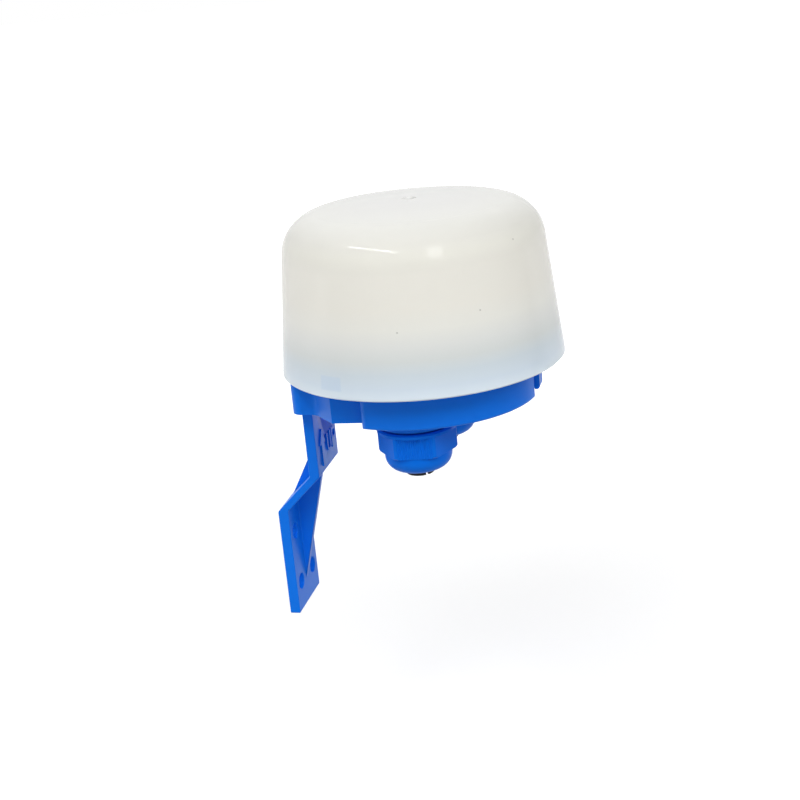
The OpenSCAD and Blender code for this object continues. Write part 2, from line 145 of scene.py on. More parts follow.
def step(tree, place, value, low, high):
    node = fill(addNode(tree, "ShaderNodeMapRange", place, interpolation_type="SMOOTHSTEP"),
                From_Min=low, From_Max=high, To_Min=0.0, To_Max=1.0)
    tree.links.new(value, node.inputs["Value"])
    return node.outputs[0]


def objectAxes(tree, place, centre=(0, 0, 0)):
    coords = addNode(tree, "ShaderNodeTexCoord", place)
    shift = addNode(tree, "ShaderNodeMapping", (place[0] + 200, place[1]))
    shift.inputs["Location"].default_value = [-value for value in centre]
    split = addNode(tree, "ShaderNodeSeparateXYZ", (place[0] + 400, place[1]))
    tree.links.new(coords.outputs["Object"], shift.inputs["Vector"])
    tree.links.new(shift.outputs[0], split.inputs[0])
    return shift.outputs[0], split.outputs["X"], split.outputs["Y"], split.outputs["Z"]


# Camera, set where the photograph was taken from

camera = {
    "offset": Vector((99.2, -417.2, 122.7)) * mm,   # from the dome's axis at its rim
    "turn": (72.454, 5.331, 12.795),                # degrees, the photograph is a little tilted
    "lens": 67.43,
}


def makeCamera(spec):
    data = bpy.data.cameras.new("viewCamera")
    data.lens = spec["lens"]
    data.sensor_width = 36
    data.clip_start = 0.01
    data.clip_end = 50
    eye = bpy.data.objects.new("viewCamera", data)
    eye.location = head + spec["offset"]
    eye.rotation_euler = Euler([math.radians(angle) for angle in spec["turn"]])
    bpy.context.scene.collection.objects.link(eye)
    bpy.context.scene.camera = eye


makeCamera(camera)
print("camera set")


# Studio: pale paper, a white room that is dim where the camera stands, and six softboxes

studio = {
    "floorDrop": 60 * mm,       # below the lowest point of the part
    "floorSize": 12.0,
    "paper": 0.86,              # how pale the floor is
    "paperGlow": 0.16,          # white of its own for the camera, low enough to keep the shadow
    "paperFade": (0.2, 0.7),    # distances over which it becomes plain white
    "bounce": 0.55,             # how much of the light the floor throws back up
    "ambient": 0.32,            # light from all round
    "wallWay": (-0.45, 0.89),   # the bright wall stands behind the part and to its left
    "wallFade": (0.05, 0.80),   # how the room brightens towards it
    "floorFade": (-0.05, 0.20), # and the paper, in metres
    "backWall": 0.85,           # how bright it is in reflections
    "floorShine": 1.0,          # and the paper in front of it
    "cameraSide": 0.40,         # and the dim side of the room
    "boxes": [
        # name, azimuth, elevation, roll, distance, width, height, watts,
        # and whether it lights the part, shows in its reflections or both
        ("stripBox", -33, 52, -9, 1.0, 0.75, 0.06, 1.1, "both"),
        ("windowBox", 33, 37, -8, 1.0, 0.20, 0.50, 0.9, "mirror"),
        ("keyBox", 5, 48, 0, 1.2, 0.9, 0.6, 6.8, "light"),
        ("leftBox", -75, 28, 0, 1.2, 0.9, 0.6, 2.9, "light"),
        ("rightBox", 66, 38, 0, 1.2, 0.9, 0.6, 4.8, "light"),
        ("backBox", -165, 24, 0, 1.2, 0.9, 0.6, 6.4, "light"),
    ],
}


def wallSide(tree, spec, place, fade):
    split = addNode(tree, "ShaderNodeSeparateXYZ", (-1100, -300))
    tree.links.new(place, split.inputs[0])
    back = mathNode(tree, (-900, -300), "MULTIPLY", split.outputs["Y"], spec["wallWay"][1])
    back = mathNode(tree, (-800, -300), "MULTIPLY_ADD", split.outputs["X"], spec["wallWay"][0], back)
    return step(tree, (-700, -300), back, *fade)


def seenByCamera(tree, rays):
    seen = rays.outputs["Is Camera Ray"], rays.outputs["Is Transmission Ray"]
    return mathNode(tree, (-450, 400), "MAXIMUM", *seen)


def makeWorld(spec):
    world = bpy.data.worlds.new("whiteRoom")
    bpy.context.scene.world = world
    world.use_nodes = True
    tree = world.node_tree
    room = tree.nodes["Background"]
    rays = addNode(tree, "ShaderNodeLightPath", (-900, 500))
    coords = addNode(tree, "ShaderNodeTexCoord", (-1300, 0))
    far = wallSide(tree, spec, coords.outputs["Generated"], spec["wallFade"])
    shine = between(tree, (-450, -300), far, spec["cameraSide"], spec["backWall"])
    unseen = mixValue(tree, (-250, 0), rays.outputs["Is Glossy Ray"], spec["ambient"], shine)
    level = mixValue(tree, (-50, 100), seenByCamera(tree, rays), unseen, 1.0)
    room.inputs["Color"].default_value = (1, 1, 1, 1)
    tree.links.new(level, room.inputs["Strength"])


def makeFloor(spec):
    middle = (head.x, 0, cadBox[0].z - spec["floorDrop"])
    bpy.ops.mesh.primitive_plane_add(size=spec["floorSize"], location=middle)
    floor = bpy.context.object
    floor.name = "paleFloor"
    material, tree, shader = newMaterial("palePaper", Roughness=0.9, Base_Color=(spec["paper"],) * 3 + (1,))
    rays = addNode(tree, "ShaderNodeLightPath", (-700, 400))
    where = addNode(tree, "ShaderNodeNewGeometry", (-1300, -300))
    far = wallSide(tree, spec, where.outputs["Position"], spec["floorFade"])
    shine = between(tree, (-450, -300), far, spec["cameraSide"], spec["floorShine"])
    coords = addNode(tree, "ShaderNodeTexCoord", (-1100, 100))
    away = addNode(tree, "ShaderNodeVectorMath", (-900, 100), operation="LENGTH")
    tree.links.new(coords.outputs["Object"], away.inputs[0])
    plain = step(tree, (-700, 100), away.outputs["Value"], *spec["paperFade"])
    glow = between(tree, (-450, 100), plain, spec["paperGlow"], 1)
    white = addNode(tree, "ShaderNodeEmission", (0, -100))
    glossy = addNode(tree, "ShaderNodeEmission", (0, -250))
    grey = fill(addNode(tree, "ShaderNodeBsdfDiffuse", (0, -400)), Color=(spec["bounce"],) * 3 + (1,))
    bright = addNode(tree, "ShaderNodeAddShader", (250, 100))
    unseen = addNode(tree, "ShaderNodeMixShader", (250, -200))
    pick = addNode(tree, "ShaderNodeMixShader", (500, 0))
    for start, end in [(shader.outputs[0], bright.inputs[0]), (white.outputs[0], bright.inputs[1]),
                       (glow, white.inputs["Strength"]), (shine, glossy.inputs["Strength"]),
                       (rays.outputs["Is Glossy Ray"], unseen.inputs[0]), (grey.outputs[0], unseen.inputs[1]),
                       (glossy.outputs[0], unseen.inputs[2]), (seenByCamera(tree, rays), pick.inputs[0]),
                       (unseen.outputs[0], pick.inputs[1]), (bright.outputs[0], pick.inputs[2]),
                       (pick.outputs[0], tree.nodes["Material Output"].inputs["Surface"])]:
        tree.links.new(start, end)
    floor.data.materials.append(material)


def makeSoftboxes(spec):
    for name, azimuth, elevation, roll, distance, width, height, watts, role in spec["boxes"]:
        turn, tip = math.radians(azimuth), math.radians(elevation)
        way = Vector((math.sin(turn) * math.cos(tip), -math.cos(turn) * math.cos(tip), math.sin(tip)))
        data = bpy.data.lights.new(name, "AREA")
        data.shape = "RECTANGLE"
        data.size = width
        data.size_y = height
        data.energy = watts
        lamp = bpy.data.objects.new(name, data)
        lamp.location = head + way * distance
        aim = way.to_track_quat("Z", "Y") @ Quaternion((0, 0, 1), math.radians(roll))
        lamp.rotation_euler = aim.to_euler()
        lamp.visible_glossy = role != "light"
        lamp.visible_diffuse = role != "mirror"
        bpy.context.scene.collection.objects.link(lamp)


bpy.context.scene.view_settings.view_transform = "Standard"
makeWorld(studio)
makeFloor(studio)
makeSoftboxes(studio)
print("studio lit")


# Moulded skin, shared by the plastics: slow colour drift, a satin that varies, a faint orange peel

def newGroup(name, inputs, outputs):
    group = bpy.data.node_groups.new(name, "ShaderNodeTree")
    for socketName, start in inputs:
        socket = group.interface.new_socket(name=socketName, in_out="INPUT", socket_type="NodeSocketFloat")
        socket.default_value = start
    for socketName, kind in outputs:
        group.interface.new_socket(name=socketName, in_out="OUTPUT", socket_type=kind)
    given = addNode(group, "NodeGroupInput", (-1200, 0)).outputs
    out = addNode(group, "NodeGroupOutput", (600, 0)).inputs
    return group, given, out


def makeMouldedSkin():
    group, given, out = newGroup(
        "mouldedSkin", [("Drift", 0.05), ("Satin", 0.35), ("Satin Spread", 0.08), ("Peel Size", 1.2)],
        [("Tone", "NodeSocketFloat"), ("Roughness", "NodeSocketFloat"), ("Height", "NodeSocketFloat")])
    coords = addNode(group, "ShaderNodeTexCoord", (-900, 300))
    slow = fill(addNode(group, "ShaderNodeTexNoise", (-600, 300)), Scale=45.0, Detail=3.0, Roughness=0.55)
    handled = fill(addNode(group, "ShaderNodeTexNoise", (-600, 0)), Scale=260.0, Detail=4.0, Roughness=0.6)
    peel = fill(addNode(group, "ShaderNodeTexNoise", (-600, -300)), Detail=2.0, Roughness=0.5)
    for texture in (slow, handled, peel):
        group.links.new(coords.outputs["Object"], texture.inputs["Vector"])
    group.links.new(mathNode(group, (-800, -400), "DIVIDE", 1 / mm, given["Peel Size"]), peel.inputs["Scale"])
    drift = mathNode(group, (-350, 300), "SUBTRACT", slow.outputs["Fac"], 0.5)
    spread = mathNode(group, (-350, 0), "SUBTRACT", handled.outputs["Fac"], 0.5)
    group.links.new(mathNode(group, (-100, 300), "MULTIPLY_ADD", drift, given["Drift"], 1.0), out["Tone"])
    group.links.new(mathNode(group, (-100, 0), "MULTIPLY_ADD", spread, given["Satin Spread"], given["Satin"]),
                    out["Roughness"])
    group.links.new(peel.outputs["Fac"], out["Height"])
    return group


# Edge rounding and painted highlight, for the hard mouldings: rounds the normal over sharp edges and masks
# them, where a lighter colour is painted as a highlight

def makeEdgeRoundAndHighlight():
    group, given, out = newGroup("edgeRoundAndHighlight", [("Edge Width", 0.25 * mm)],
                                 [("Mask", "NodeSocketFloat"), ("Normal", "NodeSocketVector")])
    soft = addNode(group, "ShaderNodeBevel", (-800, 0), samples=6)
    true = addNode(group, "ShaderNodeNewGeometry", (-800, -300))
    dot = addNode(group, "ShaderNodeVectorMath", (-500, -100), operation="DOT_PRODUCT")
    group.links.new(given["Edge Width"], soft.inputs["Radius"])
    group.links.new(soft.outputs[0], dot.inputs[0])
    group.links.new(true.outputs["Normal"], dot.inputs[1])
    group.links.new(step(group, (-250, -100), dot.outputs["Value"], 0.99, 0.80), out["Mask"])
    group.links.new(soft.outputs[0], out["Normal"])
    return group


mouldedSkin = makeMouldedSkin()
edgeRoundAndHighlight = makeEdgeRoundAndHighlight()


def addSkin(tree, shader, colour, peelDepth, edge=None, **values):
    skin = fill(addNode(tree, "ShaderNodeGroup", (-700, -200), node_tree=mouldedSkin), **values)
    colour = mixColour(tree, (-350, 200), 1.0, colour, skin.outputs["Tone"], "MULTIPLY")
    bump = fill(addNode(tree, "ShaderNodeBump", (-350, -300)), Strength=0.6, Distance=peelDepth)
    tree.links.new(skin.outputs["Height"], bump.inputs["Height"])
    if edge:
        roundAndHighlight = addNode(tree, "ShaderNodeGroup", (-700, -500), node_tree=edgeRoundAndHighlight)
        fill(roundAndHighlight, Edge_Width=edge["width"])
        # painted highlight: a lighter colour mixed in along the sharp edges
        amount = mathNode(tree, (-500, 450), "MULTIPLY", roundAndHighlight.outputs["Mask"], edge["amount"])
        colour = mixColour(tree, (-150, 300), amount, colour, edge["colour"])
        tree.links.new(roundAndHighlight.outputs["Normal"], bump.inputs["Normal"])
    tree.links.new(colour, shader.inputs["Base Color"])
    tree.links.new(skin.outputs["Roughness"], shader.inputs["Roughness"])
    tree.links.new(bump.outputs[0], shader.inputs["Normal"])


def plastic(name, colour, satin=0.35, drift=0.08, peelSize=0.8, peelDepth=0.01 * mm, edge=None, **values):
    material, tree, shader = newMaterial(name, **values)
    addSkin(tree, shader, colour, peelDepth, edge,
            Drift=drift, Satin=satin, Satin_Spread=0.1, Peel_Size=peelSize)
    return material


def dress(material, *names):
    for name in names:
        data = nodes[name].data
        data.materials.clear()
        data.materials.append(material)


# Milky dome: cream, with painted light in its colour: a bright edge at the rim painted as a glow, painted
# shade and the blue collar painted as showing through towards the rim, a crown painted a little darker
# against the light from above, and two twist lugs painted as showing through

milkyDome = {
    "height": domeHigh.z - domeLow.z,
    "stops": [
        # height above the rim in mm, colour
        # painted glow: the lowest edge of the rim is painted bright for light carried through the plastic
        (0.0, srgb(234, 250, 255)),
        # painted shade and painted show-through of the blue collar: greyer and bluer up to about 11 mm
        (0.7, srgb(222, 234, 243)),
        (3.4, srgb(212, 225, 236)),
        (7.2, srgb(209, 220, 227)),
        (11.0, srgb(216, 221, 220)),
        (15.0, srgb(226, 228, 225)),
        (19.5, srgb(234, 234, 227)),
        (25.0, srgb(236, 234, 225)),
        (34.0, srgb(236, 234, 225)),
        # painted shade: the shoulder and crown are painted a little darker to even out the light from above
        (39.0, srgb(229, 228, 219)),
        (42.0, srgb(223, 222, 215)),
        (46.6, srgb(224, 224, 219)),
        (48.2, srgb(222, 222, 220)),
    ],
    # painted shade of two twist lugs showing through the wall, as bluish patches
    "lugs": {
        "turn": 64, "apart": 180, "half": 5.0, "blur": 0.6,     # degrees
        "low": 2.4, "high": 6.4, "soft": 0.4,                   # mm above the rim
        "colour": srgb(190, 211, 233), "amount": 0.4,
    },
    "specks": {
        "places": [(32.5, -19.1, 38.8), (2.8, -40.0, 19.05), (24.3, -31.5, 22.4), (-30.5, 20.0, 30.0)],
        "inner": 0.12 * mm, "outer": 0.36 * mm, "colour": srgb(120, 118, 112), "amount": 0.45,
    },
}


def makeMilkyDome(spec):
    material, tree, shader = newMaterial("milkyDome", IOR=1.5, Specular_IOR_Level=0.4,
                                         Subsurface_Weight=0.2, Subsurface_Scale=3 * mm,
                                         Subsurface_Radius=(1.0, 1.0, 1.0))
    where, x, y, z = objectAxes(tree, (-2600, 200), head)
    height = mathNode(tree, (-1900, 200), "DIVIDE", z, spec["height"])
    stops = [(stop * mm / spec["height"], tint) for stop, tint in spec["stops"]]
    colour = rampNode(tree, (-1600, 200), stops, height)
    # painted shade: bluish patches where the twist lugs show through
    lugs = spec["lugs"]
    halfWay = lugs["apart"] / 2
    turn = mathNode(tree, (-1900, -100), "ARCTAN2", y, x)
    turn = mathNode(tree, (-1750, -100), "SUBTRACT", turn, math.radians(lugs["turn"] - halfWay))
    turn = mathNode(tree, (-1600, -100), "WRAP", turn, math.radians(lugs["apart"]), 0.0)
    turn = mathNode(tree, (-1450, -100), "SUBTRACT", turn, math.radians(halfWay))
    turn = mathNode(tree, (-1300, -100), "ABSOLUTE", turn)
    half, blur, soft = lugs["half"], lugs["blur"], lugs["soft"]
    across = step(tree, (-1150, -100), turn, math.radians(half + blur), math.radians(half - blur))
    rise = step(tree, (-1150, -350), z, (lugs["low"] - soft) * mm, (lugs["low"] + soft) * mm)
    fall = step(tree, (-1150, -600), z, (lugs["high"] + soft) * mm, (lugs["high"] - soft) * mm)
    window = mathNode(tree, (-950, -400), "MULTIPLY", rise, fall)
    paintedLugShade = mathNode(tree, (-950, -200), "MULTIPLY", across, window)
    paintedLugShade = mathNode(tree, (-950, 0), "MULTIPLY", paintedLugShade, lugs["amount"])
    colour = mixColour(tree, (-950, 200), paintedLugShade, colour, lugs["colour"])
    specks = spec["specks"]
    for index, spot in enumerate(specks["places"]):
        up = 500 + 200 * index
        away = addNode(tree, "ShaderNodeVectorMath", (-2200, up), operation="DISTANCE")
        tree.links.new(where, away.inputs[0])
        away.inputs[1].default_value = Vector(spot) * mm
        mask = step(tree, (-2000, up), away.outputs["Value"], specks["outer"], specks["inner"])
        mask = mathNode(tree, (-1800, up), "MULTIPLY", mask, specks["amount"])
        colour = mixColour(tree, (-800 + 120 * index, 500), mask, colour, specks["colour"])
    addSkin(tree, shader, colour, 0.004 * mm, Drift=0.03, Satin=0.04, Satin_Spread=0.03, Peel_Size=2.5)
    return material


# Blue mouldings, black rubber and grey silicone

blue = {
    "colour": (0.002, 0.176, 0.86, 1),
    "nutColour": (0.002, 0.160, 0.80, 1),
    # the edge colours are a painted highlight along sharp edges, over a rounded normal
    "edge": {"width": 0.28 * mm, "amount": 0.35, "colour": (0.03, 0.26, 1.0, 1)},
    "nutEdge": {"width": 0.08 * mm, "amount": 0.2, "colour": (0.03, 0.26, 1.0, 1)},   # keeps the flutes crisp
    "satin": 0.36,
}
blueMoulding = plastic("blueMoulding", blue["colour"], satin=blue["satin"], edge=blue["edge"],
                       Specular_IOR_Level=0.28, Specular_Tint=(0.5, 1.0, 1.0, 1.0))
blueNut = plastic("blueNut", blue["nutColour"], satin=blue["satin"], edge=blue["nutEdge"],
                  Specular_IOR_Level=0.14, Specular_Tint=(0.4, 1.0, 1.0, 1.0))
blackRubber = plastic("blackRubber", (0.012, 0.012, 0.013, 1), satin=0.6, peelSize=0.4)
greySilicone = plastic("greySilicone", srgb(196, 198, 198), satin=0.5,
                       Subsurface_Weight=0.3, Subsurface_Scale=2 * mm)

dress(makeMilkyDome(milkyDome), "dome_cover")
dress(blueMoulding, "base", "bracket")
dress(blueNut, "gland_nut_front", "gland_nut_rear")
dress(blackRubber, "gland_seal_front", "gland_seal_rear")
dress(greySilicone, "dome_gasket")
print("outer materials made")


# Circuit parts: a body colour above the board and tinned leads below it

boardTop = 7.6      # above the dome's rim, in mm
tinned = srgb(196, 196, 192)
leadFade = (0.02, -0.06)    # mm from a body's underside, over which its leads begin
components = {
    # node: colour, height of the body above the board in mm, satin
    "relay": (srgb(30, 32, 36), 0.0, 0.42),
    "film_capacitor": (srgb(196, 148, 40), 0.0, 0.30),
    "bridge_rectifier": (srgb(34, 34, 36), 1.0, 0.55),
    "varistor": (srgb(38, 86, 132), 2.2, 0.22),
    "transistor": (srgb(26, 26, 27), 2.5, 0.5),
}


def leadMask(tree, z, lift):
    return step(tree, (-1000, 700), z, *((boardTop + lift + edge) * mm for edge in leadFade))


def finishComponent(tree, shader, colour, lead, satin):
    colour = mixColour(tree, (-800, 500), lead, colour, tinned)
    tree.links.new(lead, shader.inputs["Metallic"])
    addSkin(tree, shader, colour, 0.008 * mm, Drift=0.1, Satin=satin, Satin_Spread=0.12, Peel_Size=0.5)


def makeComponents(spec):
    for name, (colour, lift, satin) in spec.items():
        material, tree, shader = newMaterial(name + "Finish")
        z = objectAxes(tree, (-1900, 300), head)[3]
        finishComponent(tree, shader, colour, leadMask(tree, z, lift), satin)
        dress(material, name)


# Electrolytic capacitor: dark sleeve with a pale stripe, bare aluminium on top

sleeve = {
    "at": (-8, -7), "lift": 0.5, "cap": 12.2, "capFade": 0.06,      # mm, the heights above the board
    "stripeFrom": (2.72, 2.76),                                     # radians from the front of the can
    "colour": srgb(24, 30, 62), "stripe": srgb(168, 176, 190),
}


def makeSleeve(spec):
    material, tree, shader = newMaterial("canSleeve")
    x, y, z = objectAxes(tree, (-2300, 300), fromHead(*spec["at"], 0))[1:]
    turn = mathNode(tree, (-1700, 300), "ABSOLUTE", mathNode(tree, (-1850, 300), "ARCTAN2", y, x))
    stripe = step(tree, (-1500, 300), turn, *spec["stripeFrom"])
    colour = mixColour(tree, (-1200, 300), stripe, spec["colour"], spec["stripe"])
    capFrom = (boardTop + spec["cap"]) * mm
    bare = step(tree, (-1500, 0), z, capFrom, capFrom + spec["capFade"] * mm)
    bare = mathNode(tree, (-1200, 0), "MAXIMUM", bare, leadMask(tree, z, spec["lift"]))
    finishComponent(tree, shader, colour, bare, 0.3)
    dress(material, "electrolytic_capacitor")


# Parts that lie along their leads: colour bands by the distance from the middle

coat, bead = srgb(206, 178, 128), srgb(206, 96, 40)
axialParts = {
    # three resistors lie across the board, and the last one, past the split, along it
    "resistors": {"middle": (-20.5, -6.5), "split": (5.0, 5.1), "reach": 5.4, "satin": 0.4, "stops": [
        (-4.5, tinned), (-3.1, coat), (-2.5, srgb(88, 52, 30)), (-1.9, coat), (-1.2, srgb(22, 22, 22)),
        (-0.6, coat), (0.1, srgb(200, 110, 30)), (0.7, coat), (2.0, srgb(176, 138, 60)), (2.6, coat),
        (3.1, tinned)]},
    "zener_diode": {"middle": (-20.5, -0.4), "split": None, "reach": 5.4, "satin": 0.12, "stops": [
        (-4.5, tinned), (-2.0, bead), (1.0, srgb(20, 20, 22)), (1.6, bead), (2.0, tinned)]},
}
leadEdge = 0.02 * mm


def makeAxialParts(parts):
    for name, spec in parts.items():
        material, tree, shader = newMaterial(name + "Bands")
        along, y = objectAxes(tree, (-2300, 300), fromHead(*spec["middle"], 0))[1:3]
        if spec["split"]:
            lengthways = step(tree, (-1700, 0), y, *(edge * mm for edge in spec["split"]))
            along = mixValue(tree, (-1500, 200), lengthways, y, along)
        reach = spec["reach"] * mm
        spot = fill(addNode(tree, "ShaderNodeMapRange", (-1300, 200)), From_Min=-reach, From_Max=reach)
        tree.links.new(along, spot.inputs["Value"])
        stops = [((stop * mm + reach) / (2 * reach), tint) for stop, tint in spec["stops"]]
        colour = rampNode(tree, (-1100, 300), stops, spot.outputs[0], "CONSTANT")
        bodyHalf = spec["stops"][-1][0] * mm
        away = mathNode(tree, (-1300, 0), "ABSOLUTE", along)
        bare = step(tree, (-1100, 0), away, bodyHalf - leadEdge, bodyHalf + leadEdge)
        finishComponent(tree, shader, colour, bare, spec["satin"])
        dress(material, name)


# Light cell: a winding sensitive track on a pale disc

cellFace = {
    "at": (-13.5, 1.5), "lift": 16.4, "face": 18.3,     # mm, the disc's underside and face above the board
    "pitch": 0.55 * mm, "bar": (0.2, 0.26),             # the track's spacing, and its share of that
    "edge": 1.75 * mm, "soft": 0.04 * mm, "faceFade": 0.02 * mm,
    "disc": srgb(232, 222, 198), "track": srgb(176, 74, 34),
}


def makeCellFace(spec):
    material, tree, shader = newMaterial("cellFace", Coat_Weight=0.6, Coat_Roughness=0.08)
    x, y, z = objectAxes(tree, (-2300, 300), fromHead(*spec["at"], 0))[1:]
    bar = mathNode(tree, (-1700, 400), "PINGPONG", x, spec["pitch"] / 2)
    bar = step(tree, (-1500, 400), bar, *(spec["pitch"] * share for share in spec["bar"]))
    across = mathNode(tree, (-1700, 200), "ABSOLUTE", y)
    inside = step(tree, (-1500, 200), across, spec["edge"] + spec["soft"], spec["edge"])
    level = (boardTop + spec["face"]) * mm
    onTop = step(tree, (-1500, 0), z, level, level + spec["faceFade"])
    mask = mathNode(tree, (-1300, 100), "MULTIPLY", bar, inside)
    mask = mathNode(tree, (-1300, 300), "MULTIPLY", mask, onTop)
    colour = mixColour(tree, (-1100, 300), mask, spec["disc"], spec["track"])
    finishComponent(tree, shader, colour, leadMask(tree, z, spec["lift"]), 0.3)
    dress(material, "light_cell")


# Board: tan laminate above, green lacquer over copper tracks below

board = {
    "low": (6.06, 6.02),                            # mm above the rim, over which the underside begins
    "laminate": srgb(186, 142, 84), "fleck": srgb(160, 116, 62),
    "lacquer": srgb(18, 74, 42), "track": srgb(48, 124, 70),
    "cell": 3.4 * mm, "trackEdge": (0.10, 0.13),    # size of the copper plots, and where their gaps end
}


def makeBoard(spec):
    material, tree, shader = newMaterial("laminateBoard")
    where, _, _, z = objectAxes(tree, (-2300, 300), head)
    fibre = fill(addNode(tree, "ShaderNodeTexNoise", (-1700, 500)), Scale=900.0, Detail=4.0, Roughness=0.7)
    plots = addNode(tree, "ShaderNodeTexVoronoi", (-1700, 100),
                    distance="CHEBYCHEV", feature="DISTANCE_TO_EDGE")
    fill(plots, Scale=1 / spec["cell"], Randomness=0.75)
    for texture in (fibre, plots):
        tree.links.new(where, texture.inputs["Vector"])
    above = mixColour(tree, (-1400, 500), fibre.outputs["Fac"], spec["laminate"], spec["fleck"])
    copper = step(tree, (-1550, 0), plots.outputs["Distance"], *spec["trackEdge"])
    below = mixColour(tree, (-1400, 100), copper, spec["lacquer"], spec["track"])
    under = step(tree, (-1400, -200), z, *(level * mm for level in spec["low"]))
    colour = mixColour(tree, (-1100, 300), under, above, below)
    addSkin(tree, shader, colour, 0.01 * mm, Drift=0.12, Satin=0.42, Satin_Spread=0.15, Peel_Size=0.4)
    dress(material, "circuit_board")


# Plated metal: fine drawn lines and a dulled shine

drawnLines = {"fine": 4000.0, "stretch": (1.0, 1.0, 0.06), "dull": 0.72}


def platedMetal(name, colour, shine):
    material, tree, shader = newMaterial(name, Metallic=1.0)
    where = objectAxes(tree, (-1900, 300))[0]
    lines = fill(addNode(tree, "ShaderNodeTexNoise", (-1300, 200)), Scale=drawnLines["fine"], Detail=2.0)
    stretch = addNode(tree, "ShaderNodeVectorMath", (-1500, 200), operation="MULTIPLY")
    stretch.inputs[1].default_value = drawnLines["stretch"]
    tree.links.new(where, stretch.inputs[0])
    tree.links.new(stretch.outputs[0], lines.inputs["Vector"])
    dull = tuple(level * drawnLines["dull"] for level in colour[:3]) + (1,)
    streaked = mixColour(tree, (-900, 300), lines.outputs["Fac"], colour, dull)
    addSkin(tree, shader, streaked, 0.004 * mm, Drift=0.15, Satin=shine, Satin_Spread=0.2, Peel_Size=0.3)
    return material


makeComponents(components)
makeSleeve(sleeve)
makeAxialParts(axialParts)
makeCellFace(cellFace)
makeBoard(board)
dress(plastic("terminalGreen", srgb(40, 118, 74), satin=0.4), "terminal_block")
dress(platedMetal("zincScrew", srgb(198, 200, 202), 0.3), "board_screws", "terminal_screws")
dress(platedMetal("brassCage", srgb(206, 176, 104), 0.35), "terminal_cages")
print("circuit dressed")


# Finished pieces: linked and ridden on their body

def addPiece(name, mesh, material, body):
    mesh.materials.clear()
    mesh.materials.append(material)
    piece = bpy.data.objects.new(name, mesh)
    bpy.context.scene.collection.objects.link(piece)
    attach(piece, body)
    return piece


def plainMesh(maker, name):
    view = bpy.context.evaluated_depsgraph_get()
    mesh = bpy.data.meshes.new_from_object(maker.evaluated_get(view))
    mesh.name = name
    bpy.data.objects.remove(maker, do_unlink=True)
    return mesh


# Bracket with its edges broken as a moulding's are, in place of the sharp solid

softBracket = {
    "edge": 0.32 * mm, "rounds": 3,
    "weld": 0.002 * mm, "flat": 0.5,    # points this near are one, and faces within these degrees
    "keen": 35,                         # degrees between two faces that meet in an edge
    # the raised mark stays crisp
    "mark": {"x": 14.4 * mm, "half": 9.5 * mm, "low": 28 * mm, "high": 44 * mm},
}


def onMark(edge, mark):
    return all(end.co.x > mark["x"] and abs(end.co.y) < mark["half"] and mark["low"] < end.co.z < mark["high"]
               for end in edge.verts)


def makeSoftBracket(spec):
    build = bmesh.new()
    build.from_mesh(nodes["bracket"].data)
    bmesh.ops.remove_doubles(build, verts=build.verts, dist=spec["weld"])
    bmesh.ops.dissolve_limit(build, angle_limit=math.radians(spec["flat"]),
                             verts=build.verts, edges=build.edges)
    weights = build.edges.layers.float.new("bevel_weight_edge")
    for edge in build.edges:
        keen = edge.calc_face_angle(0) > math.radians(spec["keen"])
        edge[weights] = 1.0 if keen and not onMark(edge, spec["mark"]) else 0.0
    mesh = bpy.data.meshes.new("bracketRough")
    build.to_mesh(mesh)
    build.free()
    mesh.polygons.foreach_set("use_smooth", [True] * len(mesh.polygons))
    mesh.set_sharp_from_angle(angle=math.radians(spec["keen"]))
    maker = bpy.data.objects.new("bracketMaker", mesh)
    bpy.context.scene.collection.objects.link(maker)
    rounding = maker.modifiers.new("brokenEdges", "BEVEL")
    rounding.limit_method = "WEIGHT"
    rounding.width = spec["edge"]
    rounding.segments = spec["rounds"]
    rounding.use_clamp_overlap = False
    rounding.harden_normals = True
    mesh = plainMesh(maker, "bracketMoulding")
    piece = addPiece("bracketMoulding", mesh, blueMoulding, "base_body")
    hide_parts("bracket")


# Threads on the two gland spouts, a round ridge wound on each

spoutThread = {
    "Start": (0.35, -18.5, -17.4), "Apart": (0.0, 37.0, 0.0),      # mm from the dome's axis
    "Radius": 7.25, "Ridge": 0.42, "Pitch": 1.5, "Turns": 2.5,
    "steps": 64, "sides": 10,       # along a turn and round the ridge
}


def newGeometryTree(name, inputs):
    tree = bpy.data.node_groups.new(name, "GeometryNodeTree")
    tree.interface.new_socket(name="Geometry", in_out="INPUT", socket_type="NodeSocketGeometry")
    tree.interface.new_socket(name="Geometry", in_out="OUTPUT", socket_type="NodeSocketGeometry")
    sockets = {key: tree.interface.new_socket(name=key, in_out="INPUT", socket_type=kind)
               for key, kind in inputs}
    given = addNode(tree, "NodeGroupInput", (-900, 0)).outputs
    out = addNode(tree, "NodeGroupOutput", (900, 0)).inputs
    return tree, sockets, given, out


def runTree(tree, sockets, values, mesh, name):
    maker = bpy.data.objects.new(name + "Maker", mesh)
    bpy.context.scene.collection.objects.link(maker)
    grow = maker.modifiers.new("grow", "NODES")
    grow.node_group = tree
    for key, value in values.items():
        grow[sockets[key].identifier] = value
    return plainMesh(maker, name)


def closeTree(tree, geometry, material, out):
    real = addNode(tree, "GeometryNodeRealizeInstances", (500, 0))
    paint = addNode(tree, "GeometryNodeSetMaterial", (700, 0))
    paint.inputs["Material"].default_value = material
    for start, end in [(geometry, real.inputs[0]), (real.outputs[0], paint.inputs[0]),
                       (paint.outputs[0], out[0])]:
        tree.links.new(start, end)


